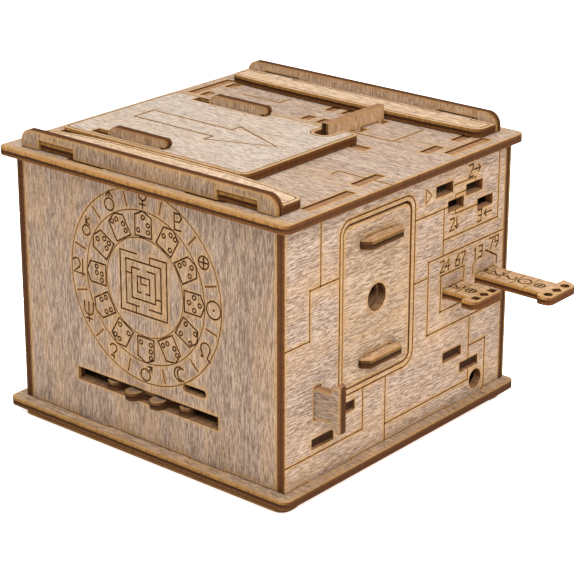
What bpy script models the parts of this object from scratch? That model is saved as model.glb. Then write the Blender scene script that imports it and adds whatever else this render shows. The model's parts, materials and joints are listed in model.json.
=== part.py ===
"""A plywood puzzle box: laser-cut sheets around a toothed code wheel, a drawer and sliding keys.

Lengths are in millimetres. X runs to the right from the plates' left edge, Y to the back from
their front edge, and Z up from the base plate's top face. The empty case_datum carries every
piece. It puts the world origin on the plane that the feet rest on, under the middle of the
whole object's box, drawn-out sticks included.
"""

import math

import bpy
from mathutils import Vector

MM = 0.001

SHEET = 3.0  # thickness of the plywood that every flat piece is cut from
FIT = 0.25  # gap around a fixed joint
SLIP = 0.3  # gap around a sliding joint
ARC_STEP = math.radians(15)  # turn of each segment of a rounded corner

PLATE = 130.0  # side of the square base and top plates
PLATE_CORNER = 3.0
WALL_HEIGHT = 91.0  # clear height between the plates
SIDE_INSET = 4.5  # from a plate's side edge to the wall's outer face
FRONT_INSET = 4.7
BACK_INSET = 1.5
RECESS = 0.4  # how far a tenon's end stays under the face it comes through

LEFT_WALL = SIDE_INSET + SHEET / 2
RIGHT_WALL = PLATE - LEFT_WALL
FRONT_WALL = FRONT_INSET + SHEET / 2
BACK_WALL = PLATE - BACK_INSET - SHEET / 2
ROOM = (  # the inside of the walls: left, front, right, back
    LEFT_WALL + SHEET / 2,
    FRONT_WALL + SHEET / 2,
    RIGHT_WALL - SHEET / 2,
    BACK_WALL - SHEET / 2,
)
TOP_FACE = WALL_HEIGHT + SHEET
RIGHT_FACE = PLATE - SIDE_INSET
TENON_TOP = TOP_FACE - RECESS
TENON_BOTTOM = -SHEET + RECESS

SIDE_TENONS = ((16.5, 39.0), (92.5, 114.5))
PANEL_TENONS = ((30.0, 46.0), (84.0, 100.0))

# The code wheel and the two floors that it turns between
WHEEL_CENTRE = (64.5, 47.6)
WHEEL_TEETH = 24
WHEEL_TIP = 46.6
WHEEL_ROOT = 41.2
TOOTH_WIDTH = 5.5
AXLE_RADIUS = 3.0
LOWER_FLOOR = 12.8
WHEEL_LEVEL = 16.25
UPPER_FLOOR = 19.8
LOWER_FLOOR_TENONS = ((18.6, 29.2), (101.0, 111.3))
UPPER_FLOOR_TENONS = ((35.8, 40.3), (90.6, 100.8))
FRONT_SLOT = (31.8, 14.3, 96.8, 18.8)
COIN_SLOT = (81.5, 24.1, 91.5, 26.5)

INNER_BOTTOM = UPPER_FLOOR + SHEET / 2 + FIT  # uprights stand on the upper floor
INNER_TOP = WALL_HEIGHT - FIT

# The drawer, whose front is the door in the right wall
DOOR = (34.1, 26.6, 69.9, 83.1)
DOOR_OPENING = (33.7, 26.2, 70.3, 83.9)
DOOR_CORNER = 3.2
DOOR_LEVEL = 123.85
KEYHOLE = (52.0, 54.5)
KEYHOLE_RADIUS = 4.7
FRAME_LEVEL = 120.6  # the upright that stops the door, and that the drawer runs through
FRAME_OPENING = (36.5, 29.0, 67.5, 81.0)
FRAME_TENON = (45.8, 58.7)
DRAWER = (36.9, 29.4, 67.1, 80.6)
DRAWER_SIDE_TOP = 72.0
DRAWER_BACK = 51.5
HANDLE_LEVELS = {"door_handle_upper": 75.4, "door_handle_lower": 33.6}
HANDLE_SPAN = (42.4, 63.2)
HANDLE_TENON = (46.0, 59.5)
HANDLE_REACH = 3.7
HANDLE_CHAMFER = 2.0

# The code sticks and the two uprights that guide them
STICK_LEVEL = 44.2
SHORT_STICK = (89.4, 101.0)
LONG_STICK = (108.9, 120.4)
SHORT_STICK_LENGTH = 92.7
LONG_STICK_LENGTH = 101.8
SHORT_STICK_END = 141.2
LONG_STICK_END = 158.2
SHORT_STICK_HEAD = 5.8
LONG_STICK_HEAD = 6.5
STICK_REACH = 30.0  # no stick comes further left than this
GUIDE_SPAN = (87.6, ROOM[3] - FIT)
GUIDES = {
    "stick_guide_outer": (117.0, ((88.3, 96.7), (106.3, 113.7))),
    "stick_guide_inner": (67.6, ((92.8, 97.2), (106.8, 111.7))),
    "partition_middle": (60.4, ((92.8, 97.2), (106.8, 111.7))),
    "partition_left": (11.7, ((92.8, 97.2), (106.8, 111.7))),
}
CROSS_WALL = 78.6
CROSS_TENON = (91.8, 99.6)

# The pull latch low on the right wall
LATCH_LEVEL = 21.1
LATCH_STEM = (21.6, 32.6)
LATCH_HEAD = (132.2, 136.2)
LATCH_INNER_END = 100.0

# Small openings of the right wall
WINDOWS = (
    (84.0, 80.6, 93.5, 84.4),
    (101.5, 77.1, 111.0, 80.9),
    (91.0, 73.6, 100.0, 77.4),
    (108.5, 70.1, 117.5, 73.9),
)
PEEPHOLE = (110.5, 5.5)
PEEPHOLE_RADIUS = 3.5

# The lid, its two sliders and the lock bar, on the top plate
LID_GAP = 0.3
LID_LEVEL = TOP_FACE + LID_GAP + SHEET / 2
LID_BOTTOM = LID_LEVEL - SHEET / 2
LID_TOP = LID_LEVEL + SHEET / 2
LID = (7.9, 22.7, 93.7, 82.4)
LID_CORNER = 3.4
NOTCH = (79.7, 73.0, 86.4)  # left side, bottom and right side of the lid's notch
SLIDERS = {"lid_slider_front": 27.4, "lid_slider_rear": 79.0}
SLIDER_SLOT = (20.5, 54.2)
SLIDER_BODY = (28.0, 52.8)
SLIDER_NOSE = 55.7
SLIDER_HEIGHT = 3.3
SLIDER_FOOT = (25.0, 60.0)
SLIDER_FOOT_BOTTOM = 91.3
FOOT_SLOT = (16.5, 62.5)
COMPARTMENT = (16.0, 34.0, 86.0, 73.0)
SHELF_LEVEL = 85.75
SHELF_TENON = (20.0, 34.0)
LOCK_BAR = 81.5
LOCK_BAR_SPAN = (78.3, 110.0)
LOCK_BAR_TOP = 99.7
LOCK_BAR_TENONS = ((92.9, 96.7), (106.3, 109.0))
LOCK_BAR_TRAVEL = 2.2

# The rails along the top plate's front and back, and the feet
RAIL_SPAN = (7.3, 122.4)
RAIL_HEIGHT = 6.8
RAIL_CORNER = 4.6
RAIL_NOTCHES = ((15.9, 32.6), (97.2, 114.2))
RAIL_NOTCH_HEIGHT = 3.5
FRONT_STRIP_WIDTH = 14.3  # in the middle, where a strip is widest
REAR_STRIP_WIDTH = 11.7
STRIP_SHOULDER = 9.8  # its width at the ends
STRIP_CORNER = 3.4
STRIP_STEPS = 12  # straight pieces that the free edge's curve is made of
STRIP_LEVEL = TOP_FACE + FIT + SHEET / 2
REAR_RAIL = 124.3
FEET = {"front_foot": (2.8, 13.0), "rear_foot": (117.0, 127.2)}
FOOT_SPAN = (3.8, 126.4)
FOOT_CORNER = 4.0

COLLECTION = "puzzle_box"
FACE_COLOUR = (0.48, 0.36, 0.27)
LIGHT_FACE_COLOUR = (0.62, 0.50, 0.40)
INNER_COLOUR = (0.40, 0.29, 0.20)
DOWEL_COLOUR = (0.55, 0.41, 0.26)


# ---------------------------------------------------------------- outlines


def rounded(corners):
    """A closed outline. A corner is (u, v), or (u, v, radius) where it is rounded."""
    points = []
    count = len(corners)
    for i, corner in enumerate(corners):
        here = Vector(corner[:2])
        radius = corner[2] if len(corner) > 2 else 0.0
        if radius <= 0.0:
            points.append(here)
            continue
        back = (Vector(corners[i - 1][:2]) - here).normalized()
        ahead = (Vector(corners[(i + 1) % count][:2]) - here).normalized()
        half = back.angle(ahead) / 2
        centre = here + (back + ahead).normalized() * (radius / math.sin(half))
        start = here + back * (radius / math.tan(half)) - centre
        turn = start.angle_signed(here + ahead * (radius / math.tan(half)) - centre)
        steps = max(2, math.ceil(abs(turn) / ARC_STEP))
        for step in range(steps + 1):
            angle = -turn * step / steps
            across = math.cos(angle) * start.x - math.sin(angle) * start.y
            along = math.sin(angle) * start.x + math.cos(angle) * start.y
            points.append(centre + Vector((across, along)))
    return points


def box(low_u, low_v, high_u, high_v, radius=0.0):
    corners = ((low_u, low_v), (high_u, low_v), (high_u, high_v), (low_u, high_v))
    return rounded([(u, v, radius) for u, v in corners])


def disc(centre, radius, segments=32):
    turns = [math.tau * i / segments for i in range(segments)]
    return [Vector((centre[0] + radius * math.cos(t), centre[1] + radius * math.sin(t))) for t in turns]


def tabbed(low_u, low_v, high_u, high_v, bottom=(), right=(), top=(), left=()):
    """A rectangle with tabs. Each tab is (start, end, where its end lies)."""
    corners = [(low_u, low_v)]
    for start, end, reach in bottom:
        corners += [(start, low_v), (start, reach), (end, reach), (end, low_v)]
    corners.append((high_u, low_v))
    for start, end, reach in right:
        corners += [(high_u, start), (reach, start), (reach, end), (high_u, end)]
    corners.append((high_u, high_v))
    for start, end, reach in reversed(top):
        corners += [(end, high_v), (end, reach), (start, reach), (start, high_v)]
    corners.append((low_u, high_v))
    for start, end, reach in reversed(left):
        corners += [(low_u, end), (reach, end), (reach, start), (low_u, start)]
    return rounded(corners)


def tenon_slot(level, span, along_u=False, gap=FIT):
    """The slot that lets the tenon of a sheet at this level through another sheet."""
    across = (level - SHEET / 2 - gap, level + SHEET / 2 + gap)
    along = (span[0] - gap, span[1] + gap)
    if along_u:
        return box(along[0], across[0], along[1], across[1])
    return box(across[0], along[0], across[1], along[1])


def tenons(spans, reach):
    return [(start, end, reach) for start, end in spans]


# ---------------------------------------------------------------- pieces


def clear_scene():
    for obj in list(bpy.data.objects):
        bpy.data.objects.remove(obj, do_unlink=True)


def make_material(name, colour, roughness=0.62):
    material = bpy.data.materials.new(name)
    material.use_nodes = True
    shader = material.node_tree.nodes["Principled BSDF"]
    shader.inputs["Base Color"].default_value = (*colour, 1.0)
    shader.inputs["Roughness"].default_value = roughness
    shader.inputs["Metallic"].default_value = 0.0
    return material


class Case:
    """The collection and the datum that every piece of the box hangs on."""

    # For each plane: which axes its u and v run along, and the turn that lays a sheet in it.
    PLANES = {
        "level": ("x", "y", (0.0, 0.0, 0.0)),
        "facing_front": ("x", "z", (math.radians(90), 0.0, 0.0)),
        "facing_side": ("y", "z", (math.radians(90), 0.0, math.radians(90))),
    }

    def __init__(self):
        self.collection = bpy.data.collections.new(COLLECTION)
        bpy.context.scene.collection.children.link(self.collection)
        self.datum = bpy.data.objects.new("case_datum", None)
        self.datum.location = Vector((-LONG_STICK_END / 2, -PLATE / 2, 2 * SHEET + FIT)) * MM
        self.collection.objects.link(self.datum)

    def add(self, obj, colour):
        obj.data.materials.append(make_material(obj.name, colour))
        obj.parent = self.datum

    def sheet(self, name, plane, level, outline, holes=(), colour=FACE_COLOUR, pivot=(0.0, 0.0)):
        """One flat piece: the outline and its holes, cut from plywood centred on the level."""
        across, along, turn = self.PLANES[plane]
        curve = bpy.data.curves.new(name, "CURVE")
        curve.dimensions = "2D"
        curve.fill_mode = "BOTH"
        curve.extrude = SHEET / 2 * MM
        for loop in (outline, *holes):
            spline = curve.splines.new("POLY")
            spline.points.add(len(loop) - 1)
            for point, place in zip(spline.points, loop):
                point.co = ((place.x - pivot[0]) * MM, (place.y - pivot[1]) * MM, 0.0, 1.0)
            spline.use_cyclic_u = True
        obj = bpy.data.objects.new(name, curve)
        place = dict.fromkeys("xyz", level)
        place[across], place[along] = pivot
        obj.location = Vector((place["x"], place["y"], place["z"])) * MM
        obj.rotation_euler = turn
        self.collection.objects.link(obj)
        self.add(obj, colour)
        return obj

    def dowel(self, name, centre, radius, bottom, top, colour):
        """A round upright peg."""
        bpy.ops.mesh.primitive_cylinder_add(vertices=32, radius=radius * MM, depth=(top - bottom) * MM)
        obj = bpy.context.object
        obj.name = name
        obj.location = Vector((*centre, (bottom + top) / 2)) * MM
        for other in obj.users_collection:
            other.objects.unlink(obj)
        self.collection.objects.link(obj)
        obj.data.shade_smooth()
        obj.data.set_sharp_from_angle(angle=math.radians(40))
        self.add(obj, colour)
        return obj


# ---------------------------------------------------------------- case


def build_plates(case):
    slots = [tenon_slot(wall, span) for wall in (LEFT_WALL, RIGHT_WALL) for span in SIDE_TENONS]
    slots += [tenon_slot(wall, span, True) for wall in (FRONT_WALL, BACK_WALL) for span in PANEL_TENONS]
    square = box(0.0, 0.0, PLATE, PLATE, PLATE_CORNER)
    case.sheet("base_plate", "level", -SHEET / 2, square, slots)

    slots.append(tenon_slot(FRAME_LEVEL, FRAME_TENON))
    slots.append(tenon_slot(CROSS_WALL, CROSS_TENON, True))
    slots += [tenon_slot(level, span) for level, spans in GUIDES.values() for span in spans]
    for start, end in LOCK_BAR_TENONS:
        left = LOCK_BAR - SHEET / 2 - SLIP
        right = LOCK_BAR + SHEET / 2 + LOCK_BAR_TRAVEL + SLIP
        slots.append(box(left, start - SLIP, right, end + SLIP))
    for level in SLIDERS.values():
        half = SHEET / 2 + 2 * SLIP
        slots.append(box(FOOT_SLOT[0], level - half, FOOT_SLOT[1], level + half))
    slots.append(box(*COMPARTMENT, 2.0))
    case.sheet("top_plate", "level", WALL_HEIGHT + SHEET / 2, square, slots, LIGHT_FACE_COLOUR)


def build_walls(case):
    front, back = FRONT_INSET, BACK_WALL - SHEET / 2 - FIT
    bottom, top = FIT, WALL_HEIGHT - FIT
    up = tenons(SIDE_TENONS, TENON_TOP)
    down = tenons(SIDE_TENONS, TENON_BOTTOM)
    side = tabbed(front, bottom, back, top, bottom=down, top=up)
    floors = [tenon_slot(LOWER_FLOOR, span, True) for span in LOWER_FLOOR_TENONS]
    floors += [tenon_slot(UPPER_FLOOR, span, True) for span in UPPER_FLOOR_TENONS]
    shelf = [tenon_slot(SHELF_LEVEL, SHELF_TENON, True)]
    case.sheet("left_wall", "facing_side", LEFT_WALL, side, floors + shelf)

    openings = list(floors)
    openings.append(box(*DOOR_OPENING, DOOR_CORNER + 0.3))
    openings += [box(*window) for window in WINDOWS]
    openings += [tenon_slot(STICK_LEVEL, stick, True, SLIP) for stick in (SHORT_STICK, LONG_STICK)]
    openings.append(tenon_slot(LATCH_LEVEL, LATCH_STEM, False, SLIP))
    openings.append(disc(PEEPHOLE, PEEPHOLE_RADIUS))
    case.sheet("right_wall", "facing_side", RIGHT_WALL, side, openings)

    panel_up = tenons(PANEL_TENONS, TENON_TOP)
    panel_down = tenons(PANEL_TENONS, TENON_BOTTOM)
    panel = tabbed(ROOM[0] + FIT, bottom, ROOM[2] - FIT, top, bottom=panel_down, top=panel_up)
    case.sheet("front_panel", "facing_front", FRONT_WALL, panel, [box(*FRONT_SLOT), box(*COIN_SLOT, 1.1)])
    panel = tabbed(SIDE_INSET, bottom, RIGHT_FACE, top, bottom=panel_down, top=panel_up)
    case.sheet("back_panel", "facing_front", BACK_WALL, panel)


def rail_outline():
    """An upright rail: rounded at the top corners, notched at its foot for the strip's tabs."""
    foot = TOP_FACE + FIT
    corners = [(RAIL_SPAN[0], foot)]
    for start, end in RAIL_NOTCHES:
        notch = foot + RAIL_NOTCH_HEIGHT
        corners += [(start, foot), (start, notch), (end, notch), (end, foot)]
    corners.append((RAIL_SPAN[1], foot))
    corners.append((RAIL_SPAN[1], TOP_FACE + RAIL_HEIGHT, RAIL_CORNER))
    corners.append((RAIL_SPAN[0], TOP_FACE + RAIL_HEIGHT, RAIL_CORNER))
    return rounded(corners)


def strip_outline(rail_face, inward, width):
    """A flat strip behind a rail. Its free edge swells in the middle, and its tabs fill the notches."""
    near = rail_face + inward * FIT
    tip = rail_face - inward * (SHEET - 2 * RECESS)
    shoulder = rail_face + inward * STRIP_SHOULDER
    swell = inward * (width - STRIP_SHOULDER)
    left, right = RAIL_SPAN
    corners = [(left, near)]
    for start, end in RAIL_NOTCHES:
        corners += [(start + FIT, near), (start + FIT, tip), (end - FIT, tip), (end - FIT, near)]
    corners += [(right, near), (right, shoulder, STRIP_CORNER)]
    for step in range(1, STRIP_STEPS):
        share = step / STRIP_STEPS
        rise = 1 - abs(2 * share - 1) ** 3
        corners.append((right + (left - right) * share, shoulder + swell * rise))
    corners.append((left, shoulder, STRIP_CORNER))
    return rounded(corners)


def build_rails_and_feet(case):
    case.sheet("front_rail", "facing_front", FRONT_WALL, rail_outline())
    strip = strip_outline(FRONT_WALL + SHEET / 2, 1, FRONT_STRIP_WIDTH)
    case.sheet("front_rail_strip", "level", STRIP_LEVEL, strip, colour=LIGHT_FACE_COLOUR)
    case.sheet("rear_rail", "facing_front", REAR_RAIL, rail_outline())
    strip = strip_outline(REAR_RAIL - SHEET / 2, -1, REAR_STRIP_WIDTH)
    case.sheet("rear_rail_strip", "level", STRIP_LEVEL, strip, colour=LIGHT_FACE_COLOUR)
    for name, (front, back) in FEET.items():
        foot = box(FOOT_SPAN[0], front, FOOT_SPAN[1], back, FOOT_CORNER)
        case.sheet(name, "level", -SHEET - FIT - SHEET / 2, foot)


# ---------------------------------------------------------------- inside


def build_floors(case):
    left, front, right, back = ROOM
    axle_hole = disc(WHEEL_CENTRE, AXLE_RADIUS + FIT)
    for name, level, spans in (
        ("wheel_floor", LOWER_FLOOR, LOWER_FLOOR_TENONS),
        ("wheel_cover", UPPER_FLOOR, UPPER_FLOOR_TENONS),
    ):
        outward = tenons(spans, RIGHT_FACE - 2 * RECESS)
        inward = tenons(spans, SIDE_INSET + RECESS)
        area = (left + FIT, front + FIT, right - FIT, back - FIT)
        case.sheet(name, "level", level, tabbed(*area, right=outward, left=inward), [axle_hole], INNER_COLOUR)
    area = (left + FIT, front + FIT, FRAME_LEVEL - SHEET / 2 - FIT, CROSS_WALL - SHEET / 2 - FIT)
    shelf = tabbed(*area, left=tenons([SHELF_TENON], SIDE_INSET + RECESS))
    case.sheet("upper_shelf", "level", SHELF_LEVEL, shelf, colour=INNER_COLOUR)


def build_uprights(case):
    frame_low, frame_high = DOOR_OPENING[0] - 3.0, DOOR_OPENING[2] + 3.0
    up = tenons([FRAME_TENON], TENON_TOP)
    frame = tabbed(frame_low, INNER_BOTTOM, frame_high, INNER_TOP, top=up)
    opening = box(*FRAME_OPENING, 1.0)
    case.sheet("drawer_frame", "facing_side", FRAME_LEVEL, frame, [opening], INNER_COLOUR)

    stick_slots = [tenon_slot(STICK_LEVEL, stick, True, SLIP) for stick in (SHORT_STICK, LONG_STICK)]
    for name, (level, spans) in GUIDES.items():
        guide = tabbed(GUIDE_SPAN[0], INNER_BOTTOM, GUIDE_SPAN[1], INNER_TOP, top=tenons(spans, TENON_TOP))
        reached = level > STICK_REACH
        case.sheet(name, "facing_side", level, guide, stick_slots if reached else (), INNER_COLOUR)

    up = tenons([CROSS_TENON], TENON_TOP)
    cross = tabbed(70.0, INNER_BOTTOM, ROOM[2] - FIT, INNER_TOP, top=up)
    case.sheet("partition_cross", "facing_front", CROSS_WALL, cross, colour=INNER_COLOUR)

    for name, level in (("drawer_rest_front", 44.0), ("drawer_rest_rear", 60.0)):
        rest = box(40.0, INNER_BOTTOM, FRAME_LEVEL - SHEET / 2 - FIT, DRAWER[1] - SLIP)
        case.sheet(name, "facing_front", level, rest, colour=INNER_COLOUR)


# ---------------------------------------------------------------- moving pieces


def wheel_outline():
    half = TOOTH_WIDTH / 2
    corners = []
    for tooth in range(WHEEL_TEETH):
        # Two teeth stand on either side of the front, so that a gap faces straight forward.
        angle = math.tau * (tooth + 0.5) / WHEEL_TEETH - math.pi / 2
        out = Vector((math.cos(angle), math.sin(angle)))
        side = Vector((-out.y, out.x))
        for radius, offset, rounding in (
            (WHEEL_ROOT, -half, 1.2),
            (WHEEL_TIP, -half, 2.4),
            (WHEEL_TIP, half, 2.4),
            (WHEEL_ROOT, half, 1.2),
        ):
            place = Vector(WHEEL_CENTRE) + out * radius + side * offset
            corners.append((place.x, place.y, rounding))
    return rounded(corners)


def build_wheel(case):
    bore = disc(WHEEL_CENTRE, AXLE_RADIUS + SLIP)
    case.sheet("code_wheel", "level", WHEEL_LEVEL, wheel_outline(), [bore], pivot=WHEEL_CENTRE)
    bottom, top = LOWER_FLOOR - SHEET / 2, UPPER_FLOOR + SHEET / 2
    case.dowel("wheel_axle", WHEEL_CENTRE, AXLE_RADIUS, bottom, top, DOWEL_COLOUR)


def handle_outline():
    """A finger tab on the door, in X and Y, with its tenon through the door."""
    foot = DOOR_LEVEL + SHEET / 2 + FIT
    tip = foot + HANDLE_REACH
    near, far = HANDLE_SPAN
    back = DOOR_LEVEL - SHEET / 2 + RECESS
    return rounded(
        [
            (foot, near),
            (foot + 1.2, near, 0.5),
            (tip, near + HANDLE_CHAMFER, 0.8),
            (tip, far - HANDLE_CHAMFER, 0.8),
            (foot + 1.2, far, 0.5),
            (foot, far),
            (foot, HANDLE_TENON[1]),
            (back, HANDLE_TENON[1]),
            (back, HANDLE_TENON[0]),
            (foot, HANDLE_TENON[0]),
        ]
    )


def build_drawer(case):
    keyhole = disc(KEYHOLE, KEYHOLE_RADIUS)
    tenon_slots = [tenon_slot(level, HANDLE_TENON, True) for level in HANDLE_LEVELS.values()]
    door = box(*DOOR, DOOR_CORNER)
    case.sheet("door_panel", "facing_side", DOOR_LEVEL, door, [keyhole, *tenon_slots])
    for name, level in HANDLE_LEVELS.items():
        case.sheet(name, "level", level, handle_outline())

    near, bottom, far, top = DRAWER
    front_board = box(near, bottom, far, top)
    inner_hole = disc(KEYHOLE, KEYHOLE_RADIUS - 0.6)
    case.sheet("drawer_front", "facing_side", FRAME_LEVEL, front_board, [inner_hole], INNER_COLOUR)
    start = DRAWER_BACK + SHEET / 2 + FIT
    end = FRAME_LEVEL - SHEET / 2 - FIT
    case.sheet("drawer_floor", "level", bottom + SHEET / 2, box(start, near, end, far), colour=INNER_COLOUR)
    side = box(start, bottom + SHEET + FIT, end, DRAWER_SIDE_TOP)
    for name, level in (("drawer_side_front", near + SHEET / 2), ("drawer_side_rear", far - SHEET / 2)):
        case.sheet(name, "facing_front", level, side, colour=INNER_COLOUR)
    back = box(near, bottom, far, DRAWER_SIDE_TOP)
    case.sheet("drawer_back", "facing_side", DRAWER_BACK, back, colour=INNER_COLOUR)


def square_hole(centre, size, turn=0.0):
    corners = [turn + math.pi / 4 + math.pi / 2 * i for i in range(4)]
    reach = size / math.sqrt(2)
    return [Vector((centre[0] + reach * math.cos(a), centre[1] + reach * math.sin(a))) for a in corners]


def build_sticks(case):
    near, far = SHORT_STICK
    end = SHORT_STICK_END
    neck = end - SHORT_STICK_HEAD
    outline = rounded(
        [
            (end - SHORT_STICK_LENGTH, near, 1.0),
            (neck, near),
            (neck, near - 3.3, 0.4),
            (end - 1.4, near - 3.1, 2.0),
            (end, near - 0.6, 1.5),
            (end, far + 0.9, 0.8),
            (neck, far + 0.9, 0.4),
            (neck, far),
            (end - SHORT_STICK_LENGTH, far, 1.0),
        ]
    )
    middle = (near + far) / 2
    row = end - 2.6
    holes = [square_hole((row, middle - 4.7), 2.5), square_hole((row, middle + 4.7), 2.5)]
    holes.append(square_hole((row, middle), 2.5, math.pi / 4))
    case.sheet("code_stick_short", "level", STICK_LEVEL, outline, holes)

    near, far = LONG_STICK
    end = LONG_STICK_END
    neck = end - LONG_STICK_HEAD
    outline = rounded(
        [
            (end - LONG_STICK_LENGTH, near, 1.0),
            (neck, near),
            (neck + 1.2, near - 2.7, 0.8),
            (end, near - 2.7, 2.6),
            (end, far + 1.8, 2.2),
            (end - 2.2, far + 3.6, 1.6),
            (neck, far + 4.4, 0.3),
            (neck, far),
            (end - LONG_STICK_LENGTH, far, 1.0),
        ]
    )
    middle = (near + far) / 2
    row = end - 2.8
    holes = [disc((row, middle + offset), 1.5, 16) for offset in (-5.3, 5.3)]
    holes.append(square_hole((row, middle), 2.7, math.pi / 4))
    case.sheet("code_stick_long", "level", STICK_LEVEL, outline, holes)


def build_latch(case):
    neck, end = LATCH_HEAD
    bottom, top = LATCH_STEM
    outline = rounded(
        [
            (LATCH_INNER_END, bottom),
            (neck, bottom),
            (neck, bottom - 1.2, 0.3),
            (neck + 1.8, bottom - 2.6, 0.6),
            (end, bottom - 2.6, 0.4),
            (end, top + 3.3, 0.6),
            (neck + 2.4, top + 3.3, 1.2),
            (neck, top + 1.5, 0.3),
            (neck, top),
            (LATCH_INNER_END, top),
        ]
    )
    case.sheet("pull_latch", "facing_front", LATCH_LEVEL, outline)


def build_lid(case):
    left, front, right, back = LID
    notch_left, notch_bottom, notch_right = NOTCH
    outline = rounded(
        [
            (left, front, LID_CORNER),
            (right, front, LID_CORNER),
            (right, back, 2.6),
            (notch_right, back, 2.0),
            (notch_right, notch_bottom, 2.8),
            (notch_left, notch_bottom, 2.8),
            (notch_left, back, 1.2),
            (left, back, LID_CORNER),
        ]
    )
    slots = []
    for level in SLIDERS.values():
        half = SHEET / 2 + SLIP
        slots.append(box(SLIDER_SLOT[0], level - half, SLIDER_SLOT[1], level + half))
    case.sheet("lid", "level", LID_LEVEL, outline, slots, LIGHT_FACE_COLOUR)

    crown = LID_TOP + SLIDER_HEIGHT
    body_left, body_right = SLIDER_BODY
    foot_left, foot_right = SLIDER_FOOT
    foot_top = LID_BOTTOM - SLIP
    slider = rounded(
        [
            (foot_left, SLIDER_FOOT_BOTTOM, 0.8),
            (foot_right, SLIDER_FOOT_BOTTOM, 0.8),
            (foot_right, foot_top),
            (body_right, foot_top),
            (body_right, LID_TOP + SLIP),
            (SLIDER_NOSE, LID_TOP + SLIP, 1.4),
            (SLIDER_NOSE, crown, 1.6),
            (body_left + 2.8, crown, 1.0),
            (body_left, crown - 2.0, 0.8),
            (body_left, foot_top),
            (foot_left, foot_top),
        ]
    )
    for name, level in SLIDERS.items():
        case.sheet(name, "facing_front", level, slider)


def build_lock_bar(case):
    front, back = LOCK_BAR_SPAN
    foot = TOP_FACE + FIT
    down = tenons(LOCK_BAR_TENONS, WALL_HEIGHT + RECESS)
    case.sheet("lock_bar", "facing_side", LOCK_BAR, tabbed(front, foot, back, LOCK_BAR_TOP, bottom=down))


def main():
    clear_scene()
    case = Case()
    build_plates(case)
    build_walls(case)
    build_rails_and_feet(case)
    build_floors(case)
    build_uprights(case)
    build_wheel(case)
    build_drawer(case)
    build_sticks(case)
    build_latch(case)
    build_lid(case)
    build_lock_bar(case)


main()
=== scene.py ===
"""Looks for the plywood puzzle box: carved sheets, scorched edges, engraving, light and camera.

Lengths are in millimetres until a mesh is made. Engraving is placed the way the design places
everything: X from the plates' left edge, Y from their front edge, Z from the base plate's top.
"""

import json
import math
from dataclasses import dataclass

import bpy
import numpy as np
from mathutils import Matrix, Vector
from mathutils.geometry import delaunay_2d_cdt
from mathutils.kdtree import KDTree


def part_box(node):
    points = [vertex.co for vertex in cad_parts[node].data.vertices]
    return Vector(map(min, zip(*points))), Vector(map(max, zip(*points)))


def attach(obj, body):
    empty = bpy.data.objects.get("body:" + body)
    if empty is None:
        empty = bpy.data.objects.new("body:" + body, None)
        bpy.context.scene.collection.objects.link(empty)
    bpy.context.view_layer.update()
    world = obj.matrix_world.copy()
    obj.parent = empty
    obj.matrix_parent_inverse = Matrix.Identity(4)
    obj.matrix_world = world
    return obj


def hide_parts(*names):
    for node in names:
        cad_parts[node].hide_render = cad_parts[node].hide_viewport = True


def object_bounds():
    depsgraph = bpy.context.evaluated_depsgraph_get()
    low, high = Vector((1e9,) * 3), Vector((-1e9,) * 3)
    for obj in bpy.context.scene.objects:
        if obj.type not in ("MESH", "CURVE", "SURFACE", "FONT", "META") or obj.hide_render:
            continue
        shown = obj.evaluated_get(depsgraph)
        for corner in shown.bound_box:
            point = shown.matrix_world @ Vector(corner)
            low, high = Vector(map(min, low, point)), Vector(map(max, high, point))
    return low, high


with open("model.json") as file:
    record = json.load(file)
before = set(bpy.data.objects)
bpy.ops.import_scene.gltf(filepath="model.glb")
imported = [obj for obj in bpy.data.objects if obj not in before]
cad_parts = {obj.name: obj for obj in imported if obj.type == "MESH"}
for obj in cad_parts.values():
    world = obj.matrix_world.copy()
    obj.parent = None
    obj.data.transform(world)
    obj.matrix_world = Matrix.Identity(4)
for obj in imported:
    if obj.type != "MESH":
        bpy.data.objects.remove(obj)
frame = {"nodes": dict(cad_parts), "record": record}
cad_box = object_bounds()

X, Y, Z = 0, 1, 2
MM = 0.001
PLATE_LOW, PLATE_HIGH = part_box("base_plate")
DATUM = np.array((PLATE_LOW.x, PLATE_LOW.y, PLATE_HIGH.z)) / MM

CHAMFER = 0.12  # scorched rim that a laser leaves along a cut
GROOVE = 0.32  # depth of the engraving
SHADED_SMALL_HOLE = 14.0  # a hole with a shorter girth gets dark walls all through, as painted shade inside it
LINE = 0.6  # width of a burnt line
SEAM = 0.5  # width of the mosaic's lines
FINE = 0.38  # width of thin circles, margins and the lines between signs
REACH = 3.4  # scorching fades out this far from a cut
BAKED_SHARE = 0.3  # along a baked side, scorching reaches further by one over this
SAMPLE = 0.25  # spacing of the points that distances are measured to
FAR = 1e3  # the distance to something that isn't there
SAME = 1e-3  # points nearer than this are one point
CREASE = math.radians(24)  # faces that meet at a larger angle are shaded apart
UV_AXES = {X: (Y, Z), Y: (Z, X), Z: (X, Y)}  # normal axis: the axes that u and v run along
FACE, EDGE, BURNT_AND_HOLE_SHADE, SCORED = 0, 1, 2, 3  # material slots of a sheet


# -------------------------------- engraving


SHARPEST_MITRE = 0.4  # keeps the tip of a sharp corner short


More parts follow.
